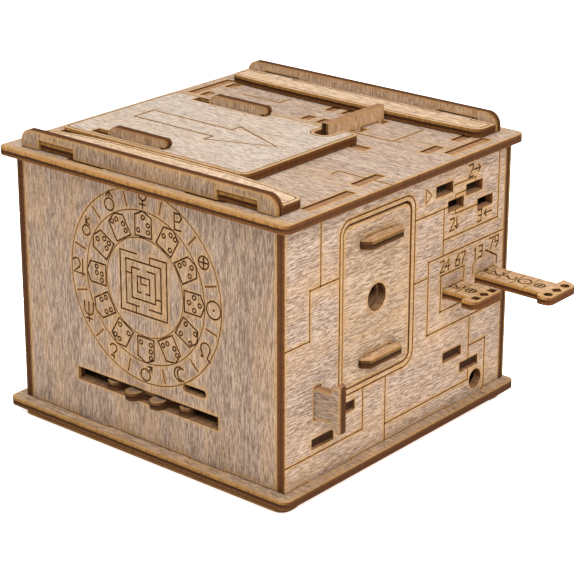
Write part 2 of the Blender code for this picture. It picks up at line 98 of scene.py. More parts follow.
class Pen:
    """Collects the convex patches that engraved strokes are made of, in the sheet's own plane.

    The width of a stroke is in millimetres, whatever the scale of its points.
    """

    def __init__(self, place, kind=BURNT_AND_HOLE_SHADE, scale=1.0, outline=None):
        self.patches, self.kinds = [], []
        self.place, self.kind, self.scale, self.outline = place, kind, scale, outline

    def patch(self, corners):
        self.patches.append(convex([self.place(*corner) for corner in corners]))
        self.kinds.append(self.kind)

    def line(self, points, width=LINE, closed=False):
        """A stroke of constant width with mitred corners and square ends."""
        width = width / self.scale
        pts = [np.array(p, float) for p in points]
        count = len(pts)
        rims = []
        for i, here in enumerate(pts):
            before = pts[i - 1] if i > 0 or closed else None
            after = pts[(i + 1) % count] if i < count - 1 or closed else None
            ways = [unit(here - before)] if before is not None else []
            ways += [unit(after - here)] if after is not None else []
            normals = [np.array((-w[1], w[0])) for w in ways]
            if len(normals) == 2:
                sharpness = max(SHARPEST_MITRE, 1 + normals[0] @ normals[1])
                mitre = (normals[0] + normals[1]) / sharpness
                spot = here
            else:
                mitre = normals[0]
                spot = here + ways[0] * width / 2 * (1 if before is not None else -1)
            rims.append((spot - mitre * width / 2, spot + mitre * width / 2))
        for i in range(count if closed else count - 1):
            (low_a, high_a), (low_b, high_b) = rims[i], rims[(i + 1) % count]
            self.patch((low_a, low_b, high_b, high_a))

    def arc(self, centre, radius, start, end, step=20):
        """A stroke along an arc, with the angles in degrees."""
        steps = max(2, math.ceil(abs(end - start) / step))
        turns = [math.radians(start + (end - start) * i / steps) for i in range(steps + 1)]
        self.line([polar(centre, radius, t) for t in turns])

    def ring(self, centre, radius, segments=16, width=LINE):
        turns = [math.tau * i / segments for i in range(segments)]
        self.line([polar(centre, radius, t) for t in turns], width, closed=True)

    def dot(self, centre, radius):
        self.patch([polar(centre, radius, math.tau * i / 10) for i in range(10)])

    def moved(self, centre, scale=1.0, turn=0.0):
        """The same sheet, seen in coordinates that are moved, scaled and turned."""
        cosine, sine = math.cos(turn) * scale, math.sin(turn) * scale

        def place(a, b):
            across, along = a * cosine - b * sine, a * sine + b * cosine
            return self.place(centre[0] + across, centre[1] + along)

        return self.shared(place, self.kind, scale)

    def scoring(self):
        """The same sheet, with a weaker beam that leaves a paler line."""
        return self.shared(self.place, SCORED, self.scale)

    def shared(self, place, kind, scale):
        pen = Pen(place, kind, scale)
        pen.patches, pen.kinds = self.patches, self.kinds
        return pen


def convex(points):
    """The corners of the convex outline around some points, anticlockwise."""

    def half(ordered):
        kept = []
        for p in ordered:
            while len(kept) > 1 and turns_right(kept[-2], kept[-1], p):
                kept.pop()
            kept.append(p)
        return kept[:-1]

    ordered = sorted((float(p[0]), float(p[1])) for p in points)
    return half(ordered) + half(ordered[::-1])


def turns_right(a, b, c):
    return (b[0] - a[0]) * (c[1] - a[1]) - (b[1] - a[1]) * (c[0] - a[0]) <= 1e-9


def unit(vector):
    return vector / max(1e-9, float(np.hypot(*vector)))


def polar(centre, radius, turn):
    return (centre[0] + radius * math.cos(turn), centre[1] + radius * math.sin(turn))


# Digits as strokes in a box one wide and 1.6 high
DIGITS = {
    "1": (((0.2, 1.3), (0.55, 1.6), (0.55, 0.0)),),
    "2": (((0.05, 1.5), (0.9, 1.55), (0.9, 1.0), (0.1, 0.0), (1.0, 0.0)),),
    "3": (((0.1, 1.6), (0.9, 1.6), (0.9, 0.0), (0.1, 0.0)), ((0.25, 0.82), (0.9, 0.82))),
    "4": (((0.75, 0.0), (0.75, 1.6), (0.0, 0.55), (1.0, 0.55)),),
    "6": (((0.8, 1.6), (0.1, 0.9), (0.1, 0.0), (0.9, 0.0), (0.9, 0.8), (0.1, 0.8)),),
    "7": (((0.0, 1.6), (1.0, 1.6), (0.35, 0.0)),),
    "9": (((0.9, 0.8), (0.1, 0.8), (0.1, 1.6), (0.9, 1.6), (0.9, 0.7), (0.4, 0.0)),),
}
DIGIT_PITCH = 3.2  # from one digit of a number to the next


def digits(pen, text, left, bottom, size, slant):
    for i, digit in enumerate(text):
        spot = pen.moved((left + i * DIGIT_PITCH, bottom), size)
        for stroke in DIGITS[digit]:
            spot.line([(a + slant * b, b) for a, b in stroke])


# Signs for the dial and the sticks, each about two units high and centred on the origin


def sun(pen):
    pen.ring((0, 0), 1.0, 24)
    pen.dot((0, 0), 0.16)


def earth(pen):
    pen.ring((0, 0), 0.8, 18)
    pen.line(((-0.75, 0), (0.75, 0)))
    pen.line(((0, -0.75), (0, 0.75)))


def flag(pen):
    pen.line(((-0.5, -1.1), (-0.5, 1.1), (0.35, 1.1), (0.75, 0.6), (0.35, 0.0), (-0.5, 0.0)))
    pen.line(((-0.5, -1.1), (0.6, -1.1)))


def mirror_sign(pen):
    pen.ring((0, 0.55), 0.62)
    pen.line(((0, -0.1), (0, -1.1)))
    pen.line(((-0.5, -0.6), (0.5, -0.6)))


def spear(pen):
    pen.ring((0, -0.25), 0.72)
    pen.line(((0, 0.5), (0, 1.25)))
    pen.line(((-0.5, 0.66), (0, 1.32), (0.5, 0.66)))


def spear_aside(pen):
    pen.ring((-0.15, -0.2), 0.72)
    pen.line(((0.36, 0.32), (0.85, 0.95)))
    pen.line(((0.3, 0.9), (0.88, 1.0), (0.82, 0.4)))


def key_sign(pen):
    pen.ring((0, -0.4), 0.62)
    pen.line(((0, 0.22), (0, 1.3)))
    pen.line(((0.5, 1.2), (0.02, 0.75), (0.5, 0.3)))


def trident(pen):
    pen.arc((0, 0.35), 0.7, 180, 360)
    pen.line(((-0.7, 0.35), (-0.7, 1.2)))
    pen.line(((0.7, 0.35), (0.7, 1.2)))
    pen.line(((0, 1.2), (0, -1.2)))
    pen.line(((-0.45, -0.8), (0.45, -0.8)))


def two_and_four(pen):
    pen.arc((-0.45, 0.45), 0.65, 150, -40)
    pen.line(((0.05, 0.05), (-0.9, -0.75), (0.95, -0.75)))
    pen.line(((0.6, 1.1), (0.6, -1.1)))


def sickle(pen):
    pen.arc((0, 0.4), 0.62, 150, -60)
    pen.line(((0.3, -0.12), (-0.1, -0.55), (0.1, -1.1)))
    pen.line(((-0.45, -0.75), (0.2, -0.75)))


def crescent(pen):
    pen.arc((0, 0), 1.0, 60, 300, 15)
    pen.arc((0.42, 0), 0.88, 78, 282, 15)


def tail(pen):
    pen.arc((0.1, 0.35), 0.7, 200, -20)
    pen.line(((-0.55, 0.1), (-0.35, -0.5)))
    pen.line(((0.75, 0.1), (0.35, -0.8), (0.8, -1.15)))
    pen.dot((-0.4, -0.65), 0.2)


# The dial's signs, by angle in degrees: the sign and half its height
DIAL_SIGNS = {
    0: (sun, 3.1),
    30: (earth, 2.8),
    60: (flag, 2.6),
    90: (mirror_sign, 2.7),
    120: (spear, 3.0),
    150: (key_sign, 2.9),
    180: (two_and_four, 2.8),
    210: (trident, 3.0),
    240: (sickle, 2.5),
    270: (spear_aside, 3.0),
    300: (crescent, 2.5),
    330: (tail, 2.9),
}
# Where each die has its pips: columns run from -1 to 1 along the ring, rows from 0 outwards
DIAL_PIPS = {
    0: ((0, 0), (1, 1), (0, 2), (-1, 1)),
    30: ((1, 0), (1, 1), (0, 2), (-1, 1)),
    60: ((1, 1), (0, 2), (-1, 2), (-1, 0)),
    90: ((0, 2), (-1, 1), (1, 0), (-1, 0)),
    120: ((1, 2), (0, 2), (-1, 1), (-1, 0)),
    150: ((0, 2), (-1, 1), (-1, 0), (0, 0)),
    180: ((-1, 1), (0, 1), (0, 0), (1, 0)),
    210: ((-1, 1), (-1, 0), (1, 0), (1, 1)),
    240: ((-1, 0), (1, 0), (-1, 2), (0, 2)),
    270: ((-1, 0), (1, 0), (1, 1), (1, 2)),
    300: ((-1, 0), (0, 0), (1, 1), (1, 2)),
    330: ((1, 0), (1, 2), (-1, 0), (-1, 2)),
}
DIAL_CENTRE = (64.6, 56.3)
DIAL_RINGS = (34.3, 27.0, 17.5)
DIAL_SIGN_RING = 30.9
DIAL_TICK = (28.5, 33.1)  # where the short lines between the signs start and end
DIE = ((18.0, -3.75), (25.2, -3.75), (27.0, 0.0), (25.2, 3.75), (18.0, 3.75))
FIRST_PIP_ROW = 20.0
PIP_PITCH = (2.4, 2.25)  # between rows and between columns
PIP_RADIUS, PIP_LINE = 0.74, 0.56
MAZE_CENTRE = (64.2, 57.0)
MAZE_SQUARES = ((10.6, 3.0), (8.0, -2.4), (5.4, 1.8), (2.8, -1.2))
MAZE_WALLS = (
    ((-8.0, 3.2), (-5.4, 3.2)),
    ((5.4, -3.6), (8.0, -3.6)),
    ((-1.2, 2.8), (-1.2, 0.4), (1.4, 0.4)),
    ((3.0, 8.0), (3.0, 10.6)),
    ((-3.6, -10.6), (-3.6, -8.0)),
)


def engrave_dial(pen):
    thin = pen.scoring()
    for radius in DIAL_RINGS:
        thin.ring(DIAL_CENTRE, radius, 96, FINE)
    for angle, (sign, size) in DIAL_SIGNS.items():
        spot = polar(DIAL_CENTRE, DIAL_SIGN_RING, math.radians(angle))
        sign(pen.moved(spot, size))
    for step in range(12):
        turn = math.radians(30 * step + 15)
        thin.line([polar(DIAL_CENTRE, radius, turn) for radius in DIAL_TICK])
    for angle, pips in DIAL_PIPS.items():
        die = pen.moved(DIAL_CENTRE, turn=math.radians(angle))
        die.line(DIE, closed=True)
        for column, row in pips:
            spot = (FIRST_PIP_ROW + PIP_PITCH[0] * row, PIP_PITCH[1] * column)
            die.ring(spot, PIP_RADIUS, 12, PIP_LINE)
    engrave_maze(pen.moved(MAZE_CENTRE))


def engrave_maze(pen):
    """Nested squares, each open above or below, with short walls between them."""
    for half, gap in MAZE_SQUARES:
        side = math.copysign(1.0, gap)
        open_at = abs(gap)
        pen.line(((open_at, side * half), (half, side * half), (half, -side * half)))
        pen.line(((half, -side * half), (-half, -side * half), (-half, side * half)))
        pen.line(((-half, side * half), (-open_at, side * half)))
    for wall in MAZE_WALLS:
        pen.line(wall)


MOSAIC = (
    ((22.4, 90.7), (22.4, 67.0)),
    ((31.9, 67.0), (17.0, 67.0), (17.0, 49.7), (3.0, 49.7)),
    ((3.0, 9.0), (45.0, 9.0), (45.0, 24.1)),
    ((57.3, 0.3), (57.3, 24.1)),
    ((57.3, 6.5), (105.8, 6.5), (105.8, 31.4)),
    ((105.8, 19.7), (115.9, 19.7), (115.9, 0.3)),
    ((72.4, 52.8), (80.5, 52.8)),
    ((125.2, 58.4), (80.5, 58.4), (80.5, 31.4), (125.2, 31.4)),
    ((72.4, 75.5), (90.6, 75.5)),
    ((88.8, 75.5), (88.8, 58.4)),
    ((88.8, 64.1), (121.2, 64.1), (121.2, 90.7)),
    ((94.2, 82.6), (107.0, 82.6), (107.0, 81.5)),
    ((101.0, 79.0), (95.3, 79.0), (95.3, 77.9)),
    ((95.3, 73.2), (95.3, 72.1), (108.1, 72.1)),
    ((101.6, 46.7), (101.6, 51.3), (87.9, 51.3), (87.9, 38.0), (103.0, 38.0)),
)
MOSAIC_ENDS = (  # where the beam paused and burnt a dot
    *((22.4, 67.0), (17.0, 67.0), (17.0, 49.7), (45.0, 9.0), (57.3, 6.5)),
    *((105.8, 6.5), (105.8, 19.7), (115.9, 19.7), (80.5, 58.4), (80.5, 31.4)),
    *((88.8, 64.1), (121.2, 64.1), (88.8, 75.5), (87.9, 51.3), (87.9, 38.0)),
)
MOSAIC_DOT = 0.42
DOOR_RING = ((32.1, 24.3), (72.3, 85.6))  # its low and high corners
DOOR_RING_RADIUS = 5.2
TRIANGLE = ((78.2, 80.0), (78.2, 85.2), (81.4, 82.3))
WINDOW_NUMBERS = (  # text, left, bottom, size, slant
    ("2", 102.4, 83.2, 2.8, 0.08),
    ("2", 92.0, 66.4, 2.8, 0.08),
    ("3", 108.6, 65.4, 2.6, 0.08),
)
WINDOW_ARROWS = (
    ((105.8, 85.4), (109.6, 85.4)),
    ((96.4, 70.6), (96.4, 66.6)),
    ((117.2, 67.6), (112.9, 67.6)),
)
STICK_NUMBERS = (
    ("24", 87.0, 52.5, 2.6, 0.06),
    ("67", 96.2, 52.4, 2.6, 0.06),
    ("13", 106.7, 51.8, 2.6, 0.06),
    ("79", 116.6, 52.9, 2.6, 0.06),
)
POINTERS = (  # the lines from the numbers to the sticks: points and width
    (((107.0, 46.7), (107.0, 50.0), (109.6, 51.6)), FINE),
    (((114.5, 53.4), (121.5, 49.6), (121.5, 46.7)), LINE),
)


def engrave_right_wall(pen):
    """The outlines of a mosaic, a ring around the door, and numbers beside the windows."""
    score(pen, MOSAIC, SEAM)
    for spot in MOSAIC_ENDS:
        pen.dot(spot, MOSAIC_DOT)
    rounded_ring(pen.scoring(), *DOOR_RING, DOOR_RING_RADIUS)
    pen.line(TRIANGLE, FINE, closed=True)
    for number in WINDOW_NUMBERS:
        digits(pen, *number)
    for start, end in WINDOW_ARROWS:
        arrow(pen, start, end)
    for number in STICK_NUMBERS:
        digits(pen, *number)
    for points, width in POINTERS:
        pen.line(points, width)


def score(pen, lines, width=LINE):
    """Open lines, drawn with the weaker beam."""
    scoring = pen.scoring()
    for points in lines:
        scoring.line(points, width)


def rounded_ring(pen, low, high, radius):
    corners = (
        (high[0] - radius, high[1] - radius, 0),
        (low[0] + radius, high[1] - radius, 90),
        (low[0] + radius, low[1] + radius, 180),
        (high[0] - radius, low[1] + radius, 270),
    )
    points = []
    for u, v, start in corners:
        points += [polar((u, v), radius, math.radians(start + 15 * i)) for i in range(7)]
    pen.line(points, closed=True)


BARB = 1.1  # how far an arrow's barbs reach back and sideways


def arrow(pen, start, end):
    a, b = np.array(start, float), np.array(end, float)
    way = unit(b - a)
    side = np.array((-way[1], way[0]))
    pen.line((a, b))
    pen.line((b - (way - side) * BARB, b, b - (way + side) * BARB))


LEFT_WALL_STEPS = ((69.0, 26.0), (37.0, 18.0), (16.5, 30.0))  # a step's level and where it rises
LEFT_WALL_LINES = (
    *(((3.0, v), (u, v), (u, v + 12.0), (u + 22.0, v + 12.0)) for v, u in LEFT_WALL_STEPS),
    ((48.0, 81.0), (48.0, 90.7)),
    ((40.0, 49.0), (86.0, 49.0), (86.0, 90.7)),
    ((52.0, 28.5), (104.0, 28.5), (104.0, 0.3)),
    ((86.0, 62.0), (125.2, 62.0)),
)
BACK_PANEL_LINES = (
    ((4.7, 60.0), (30.0, 60.0), (30.0, 36.0), (58.0, 36.0), (58.0, 0.3)),
    ((44.0, 90.7), (44.0, 68.0), (84.0, 68.0), (84.0, 22.0), (125.2, 22.0)),
    ((84.0, 50.0), (125.2, 50.0)),
    ((4.7, 18.0), (58.0, 18.0)),
    ((104.0, 90.7), (104.0, 50.0)),
)
TOP_PLATE_LINES = (
    ((132.0, 53.3), (107.5, 53.6), (107.5, 50.0)),
    ((84.0, 91.3), (101.0, 91.3), (101.0, 109.0)),
    ((22.0, 103.0), (40.0, 103.0), (40.0, 109.5)),
)
ARROW_SHAFT = ((56.6, 57.9), (19.2, 57.9), (19.2, 48.0), (56.6, 48.0))
ARROW_HEAD = ((56.6, 43.6), (81.2, 52.8), (56.6, 62.4))
MARGIN = 1.4  # from the edge of the lid or a strip to the line that follows it
STICK_PITCH = 6.15  # from one sign of a stick to the next
STICK_SIGN = 2.3  # half the size of such a sign
STICK_EDGE = 0.6  # between a stick's side and the ends of the lines across it
SHORT_STICK_SIGNS = (earth, two_and_four, spear, crescent, key_sign)
SHORT_STICK_SIGNS += (sun, trident, flag, mirror_sign)
LONG_STICK_SIGNS = (earth, sun, sickle, two_and_four, crescent)
LONG_STICK_SIGNS += (spear, mirror_sign, flag, key_sign, trident)


def engrave_strip(pen):
    pen.line(margin_line(pen.outline, MARGIN), FINE, closed=True)


def engrave_lid(pen):
    engrave_strip(pen)
    pen.scoring().line(ARROW_SHAFT + ARROW_HEAD, closed=True)


def engrave_short_stick(pen):
    engrave_stick(pen, 133.1, 89.6, 100.8, SHORT_STICK_SIGNS)


def engrave_long_stick(pen):
    engrave_stick(pen, 148.5, 109.1, 120.2, LONG_STICK_SIGNS)


def engrave_stick(pen, last, low, high, signs):
    """Signs along a stick, from its head backwards, with a line across between each pair."""
    for i, sign in enumerate(signs):
        centre = last - STICK_PITCH * i
        sign(pen.moved((centre, (low + high) / 2), STICK_SIGN, -math.pi / 2))
        if i:
            across = centre + STICK_PITCH / 2
            ends = ((across, low + STICK_EDGE), (across, high - STICK_EDGE))
            pen.scoring().line(ends, FINE)


# -------------------------------- sheets

SHARPEST_OFFSET = 0.35  # keeps the corner of an offset loop near the loop's own corner
STRAIGHT = 1e-4  # a smaller sine between two edges makes them one line


def offset_loop(loop, distance):
    """The loop moved to its left side, which is the material's side, by a distance."""
    back = loop - np.roll(loop, 1, axis=0)
    ahead = np.roll(loop, -1, axis=0) - loop
    back /= np.linalg.norm(back, axis=1)[:, None]
    ahead /= np.linalg.norm(ahead, axis=1)[:, None]
    normal_back = np.stack((-back[:, 1], back[:, 0]), 1)
    normal_ahead = np.stack((-ahead[:, 1], ahead[:, 0]), 1)
    turn = np.maximum(SHARPEST_OFFSET, 1 + (normal_back * normal_ahead).sum(1))
    return loop + distance * (normal_back + normal_ahead) / turn[:, None]


def margin_line(loop, distance):
    """The loop moved inwards, without the points of corners that are too tight to follow."""
    moved = offset_loop(loop, distance)
    ahead = np.roll(loop, -1, axis=0) - loop
    moved_ahead = np.roll(moved, -1, axis=0) - moved
    kept = (ahead * moved_ahead).sum(1) > 0
    return simplified(moved[kept & np.roll(kept, 1)])


def chains(directed_edges):
    """Closed loops of vertex numbers from edges given as (from, to) pairs."""
    following = dict(directed_edges)
    loops = []
    while following:
        start = next(iter(following))
        loop = [start]
        here = following.pop(start)
        while here != start:
            loop.append(here)
            here = following.pop(here)
        loops.append(loop)
    return loops


def boundary_edges(triangles):
    """The directed edges of these triangles that no other one of them shares."""
    edges = {(t[i], t[(i + 1) % 3]) for t in triangles for i in range(3)}
    return [edge for edge in edges if (edge[1], edge[0]) not in edges]


def loop_area(loop):
    ahead = np.roll(loop, -1, axis=0)
    return float((loop[:, 0] * ahead[:, 1] - loop[:, 1] * ahead[:, 0]).sum()) / 2


def simplified(loop):
    """The loop without points that lie on the line between their neighbours, or repeat one."""
    kept = [p for i, p in enumerate(loop) if np.hypot(*(p - loop[i - 1])) > SAME]
    loop = np.array(kept)
    back = loop - np.roll(loop, 1, axis=0)
    ahead = np.roll(loop, -1, axis=0) - loop
    cross = back[:, 0] * ahead[:, 1] - back[:, 1] * ahead[:, 0]
    limit = STRAIGHT * np.linalg.norm(back, axis=1) * np.linalg.norm(ahead, axis=1)
    return loop[np.abs(cross) >= limit]


def samples_along(loops):
    """Points along closed loops, close enough together to measure distances to."""
    points = []
    for loop in loops:
        for start, end in zip(loop, np.roll(loop, -1, axis=0)):
            steps = max(1, math.ceil(float(np.hypot(*(end - start))) / SAMPLE))
            points += [start + (end - start) * i / steps for i in range(steps)]
    return points


def tree_of(points):
    tree = KDTree(len(points))
    for i, point in enumerate(points):
        tree.insert((point[0], point[1], 0.0), i)
    tree.balance()
    return tree


def distances(tree, points):
    if tree is None:
        return np.full(len(points), FAR)
    return np.array([tree.find((p[0], p[1], 0.0))[2] for p in points])


def outlines(rings):
    """The rings' points in one list, and the numbers of each ring's points, anticlockwise."""
    points, faces = [], []
    for ring in rings:
        ids = list(range(len(points), len(points) + len(ring)))
        points += [tuple(p) for p in ring]
        faces.append(ids if loop_area(ring) > 0 else ids[::-1])
    return points, faces


def triangulated(points, faces):
    """Blender's constrained triangles over the points, with what each one comes from."""
    return delaunay_2d_cdt([Vector(p) for p in points], [], faces, 0, 1e-4, True)


class Sheet:
    """A flat CAD node: its plane, its thickness and the outline of its cut."""

    def __init__(self, node):
        mesh = frame["nodes"][node].data
        points = np.array([v.co for v in mesh.vertices], float) / MM
        low, high = points.min(0), points.max(0)
        self.normal = int(np.argmin(high - low))
        self.low, self.high = float(low[self.normal]), float(high[self.normal])
        self.thickness = self.high - self.low
        self.axes = UV_AXES[self.normal]
        flat = points[:, list(self.axes)]
        keys = [tuple(k) for k in np.round(flat, 3)]
        on_top = points[:, self.normal] > self.high - SAME
        corner_of = {}
        triangles = []
        mesh.calc_loop_triangles()
        for triangle in mesh.loop_triangles:
            if all(on_top[i] for i in triangle.vertices):
                names = [keys[i] for i in triangle.vertices]
                ids = tuple(corner_of.setdefault(name, len(corner_of)) for name in names)
                if len(set(ids)) == 3:
                    triangles.append(ids)
        corners = np.array(list(corner_of))
        loops = [simplified(corners[chain]) for chain in chains(boundary_edges(triangles))]
        self.loops = sorted(loops, key=loop_area, reverse=True)

    def pen(self):
        """A pen that takes design coordinates: the two in-plane ones, in X, Y, Z order."""
        first, second = [axis for axis in (X, Y, Z) if axis != self.normal]

        def place(a, b):
            spot = {first: a + DATUM[first], second: b + DATUM[second]}
            return (spot[self.axes[0]], spot[self.axes[1]])

        columns = [self.axes.index(first), self.axes.index(second)]
        outline = self.loops[0][:, columns] - DATUM[[first, second]]
        return Pen(place, outline=outline)


COARSE = 4  # away from cuts and grooves, only every fourth point is kept
CLEAR_OF_CUT, CLEAR_OF_GROOVE = 0.35, 0.3  # how near a point may come, in spacings
BACK_SPACING = 1.5  # how much sparser the plain side is


class Carving:
    """A closed mesh made from a sheet: a chamfered rim, engraved grooves and even faces."""

    def __init__(self, sheet, side, pen, spacing):
        self.sheet, self.side = sheet, side
        self.spots, self.spot_ids, self.outer = [], {}, {}
        self.faces, self.slots = [], []
        inset = [offset_loop(loop, CHAMFER) for loop in sheet.loops]
        rings = [np.array(patch, float) for patch in pen.patches]
        self.cut_tree = tree_of(samples_along(sheet.loops))
        self.groove_tree = tree_of(samples_along(rings)) if rings else None
        triangles, slots = self.divided(inset, rings, pen.kinds, spacing)
        rim = chains(boundary_edges(triangles))
        slot_of = {}
        for triangle, slot in zip(triangles, slots):
            for i in range(3):
                slot_of[(triangle[i], triangle[(i + 1) % 3])] = slot
        self.cover(triangles, slots, slot_of)
        self.wrap(rim, slot_of)
        self.back(rim, spacing * BACK_SPACING)

    def divided(self, loops, rings, kinds, spacing):
        """Triangles over the sheet's face that follow its outline and the engraving."""
        points, faces = outlines([*loops, *rings])
        points += self.lattice(loops[0], spacing, self.groove_tree)
        out = triangulated(points, faces)
        self.flat = np.array([tuple(v) for v in out[0]])
        triangles, slots = [], []
        holes = set(range(1, len(loops)))
        for triangle, owners in zip(out[2], out[5]):
            if 0 in owners and not holes.intersection(owners):
                strokes = [kinds[owner - len(loops)] for owner in owners if owner >= len(loops)]
                triangles.append(tuple(triangle))
                slots.append(min(strokes, default=FACE))
        return triangles, slots

    def lattice(self, outline, spacing, groove_tree):
        """Points inside the outline: dense near a cut or a groove, and sparse elsewhere."""
        low, high = outline.min(0) + spacing / 2, outline.max(0)
        columns = np.arange(low[0], high[0], spacing)
        rows = np.arange(low[1], high[1], spacing)
        grid = np.array([(u, v) for u in columns for v in rows]).reshape(-1, 2)
        coarse_columns = np.arange(len(columns)) % COARSE == 0
        coarse_rows = np.arange(len(rows)) % COARSE == 0
        coarse = np.outer(coarse_columns, coarse_rows).ravel()
        cut = distances(self.cut_tree, grid)
        groove = distances(groove_tree, grid)
        near = (cut < REACH) | (groove < REACH / 2)
        clear = (cut > CHAMFER + spacing * CLEAR_OF_CUT) & (groove > spacing * CLEAR_OF_GROOVE)
        return [tuple(p) for p in grid[(near | coarse) & clear]]

    def spot(self, flat_id, depth, outer=False):
        """The number of the vertex at this place and depth under the carved face."""
        key = (flat_id, round(depth, 4), outer)
        if key not in self.spot_ids:
            self.spot_ids[key] = len(self.spots)
            place = self.outer[flat_id] if outer else self.flat[flat_id]
            self.spots.append((place[0], place[1], depth))
        return self.spot_ids[key]

    def add(self, corners, slot):
        self.faces.append(corners if self.side > 0 else corners[::-1])
        self.slots.append(slot)

    def cover(self, triangles, slots, slot_of):
        """The face with its engraving: face, groove floors and groove walls."""
        for triangle, slot in zip(triangles, slots):
            depth = 0.0 if slot == FACE else GROOVE
            self.add([self.spot(i, depth) for i in triangle], slot)
            if slot == FACE:
                continue
            for i in range(3):
                a, b = triangle[i], triangle[(i + 1) % 3]
                if slot_of.get((b, a)) == FACE:
                    foot = [self.spot(b, GROOVE), self.spot(a, GROOVE)]
                    self.add([*foot, self.spot(a, 0.0), self.spot(b, 0.0)], slot)

    def wrap(self, rim, slot_of):
        """The cut edge of the sheet, with a chamfer at both faces."""
        depths_at = {}
        back = self.sheet.thickness
        foot = back - CHAMFER
        for loop in rim:
            moved = offset_loop(self.flat[loop], -CHAMFER)
            self.outer.update(zip(loop, moved))
            for a, b in zip(loop, loop[1:] + loop[:1]):
                top = CHAMFER if slot_of[(a, b)] == FACE else GROOVE
                for end in (a, b):
                    depths_at.setdefault(end, {foot}).add(top)
        for loop in rim:
            spots = self.flat[loop]
            is_hole = loop_area(spots) < 0
            girth = np.hypot(*(spots - np.roll(spots, 1, axis=0)).T).sum()
            # Holes get a dark chamfer, and small holes dark walls too: painted shade in the gap and
            # inside the hole.
            rim_slot = BURNT_AND_HOLE_SHADE if is_hole else EDGE
            wall_slot = BURNT_AND_HOLE_SHADE if is_hole and girth < SHADED_SMALL_HOLE else EDGE
            for i, a in enumerate(loop):
                b = loop[(i + 1) % len(loop)]
                is_carved = slot_of[(a, b)] != FACE
                rise, top = (GROOVE, GROOVE) if is_carved else (0.0, CHAMFER)
                front = [self.spot(b, rise), self.spot(a, rise), self.spot(a, top, True)]
                self.add([*front, self.spot(b, top, True)], rim_slot)
                down = [d for d in sorted(depths_at[a]) if d >= top]
                up = [d for d in sorted(depths_at[b], reverse=True) if d >= top]
                wall = [self.spot(a, d, True) for d in down] + [self.spot(b, d, True) for d in up]
                self.add(wall, wall_slot)
                under = [self.spot(b, foot, True), self.spot(a, foot, True), self.spot(a, back)]
                self.add([*under, self.spot(b, back)], EDGE)
                was_carved = slot_of[(loop[i - 1], a)] != FACE
                if was_carved != is_carved:
                    outside = [self.spot(a, CHAMFER, True), self.spot(a, GROOVE, True)]
                    end_face = [self.spot(a, 0.0), *outside, self.spot(a, GROOVE)]
                    self.add(end_face if is_carved else end_face[::-1], BURNT_AND_HOLE_SHADE)

    def back(self, rim, spacing):
        """The plain face on the other side, between the same rim points."""
        loops = [self.flat[loop] for loop in rim]
        names = [i for loop in rim for i in loop]
        points, faces = outlines(loops)
        whole = int(np.argmax([loop_area(loop) for loop in loops]))
        points += self.lattice(loops[whole], spacing, None)
        out = triangulated(points, faces)
        depth = self.sheet.thickness
        spots = []
        for place, sources in zip(out[0], out[3]):
            known = [names[s] for s in sources if s < len(names)]
            if known:
                spots.append(self.spot(known[0], depth))
            else:
                spots.append(len(self.spots))
                self.spots.append((place[0], place[1], depth))
        holes = set(range(len(loops))) - {whole}
        for triangle, owners in zip(out[2], out[5]):
            if whole in owners and not holes.intersection(owners):
                self.add([spots[i] for i in reversed(triangle)], FACE)

    def mesh(self, name, grain_axis, seed, baked):
        """The Blender mesh, with what the materials need to know at each vertex."""
        spots = np.array(self.spots)
        sheet = self.sheet
        place = np.zeros((len(spots), 3))
        place[:, sheet.axes] = spots[:, :2]
        height = sheet.high - spots[:, 2] if self.side > 0 else sheet.low + spots[:, 2]
        place[:, sheet.normal] = height
        mesh = bpy.data.meshes.new(name)
        mesh.from_pydata((place * MM).tolist(), [], self.faces)
        mesh.polygons.foreach_set("material_index", self.slots)
        on_front = spots[:, 2] < sheet.thickness / 2
        groove = np.where(on_front, distances(self.groove_tree, spots), FAR)
        along, across = [grain_axis, next(a for a in sheet.axes if a != grain_axis)]
        grain = np.stack((place[:, along], place[:, across], place[:, sheet.normal] + seed), 1)
        cut = distances(self.cut_tree, spots)
        if baked is not None:
            cut = np.minimum(cut, BAKED_SHARE * (place[:, baked] - place[:, baked].min()))
        ply = spots[:, 2] / sheet.thickness
        for label, values in (("cut", cut), ("groove", groove), ("ply", ply)):
            attribute = mesh.attributes.new(label, "FLOAT", "POINT")
            attribute.data.foreach_set("value", values.astype(np.float32))
        attribute = mesh.attributes.new("grain", "FLOAT_VECTOR", "POINT")
        attribute.data.foreach_set("vector", grain.astype(np.float32).ravel())
        normals = np.zeros(3 * len(mesh.polygons), np.float32)
        mesh.polygons.foreach_get("normal", normals)
        normals = normals.reshape(-1, 3)
        end = np.abs(normals[:, grain_axis])
        # how much each face looks up, which sets the painted top light on cut edges
        for label, values in (("end", end), ("painted_top_light", normals[:, Z])):
            attribute = mesh.attributes.new(label, "FLOAT", "FACE")
            attribute.data.foreach_set("value", np.clip(values, 0.0, 1.0))
        mesh.validate()
        mesh.shade_smooth()
        mesh.set_sharp_from_angle(angle=CREASE)
        return mesh


# -------------------------------- materials

FIRST_COLOUR, SECOND_COLOUR, MIXED_COLOUR = 6, 7, 2  # a mix node's sockets for colours
SHEEN, NO_SHEEN = 0.14, 0.04  # specular levels of a face, and of charred wood


def linear(red, green, blue):
    """A colour given as 0 to 255 display values, as the shader wants it."""
    shares = [c / 255 for c in (red, green, blue)]
    return (*[c / 12.92 if c <= 0.04045 else ((c + 0.055) / 1.055) ** 2.4 for c in shares], 1.0)


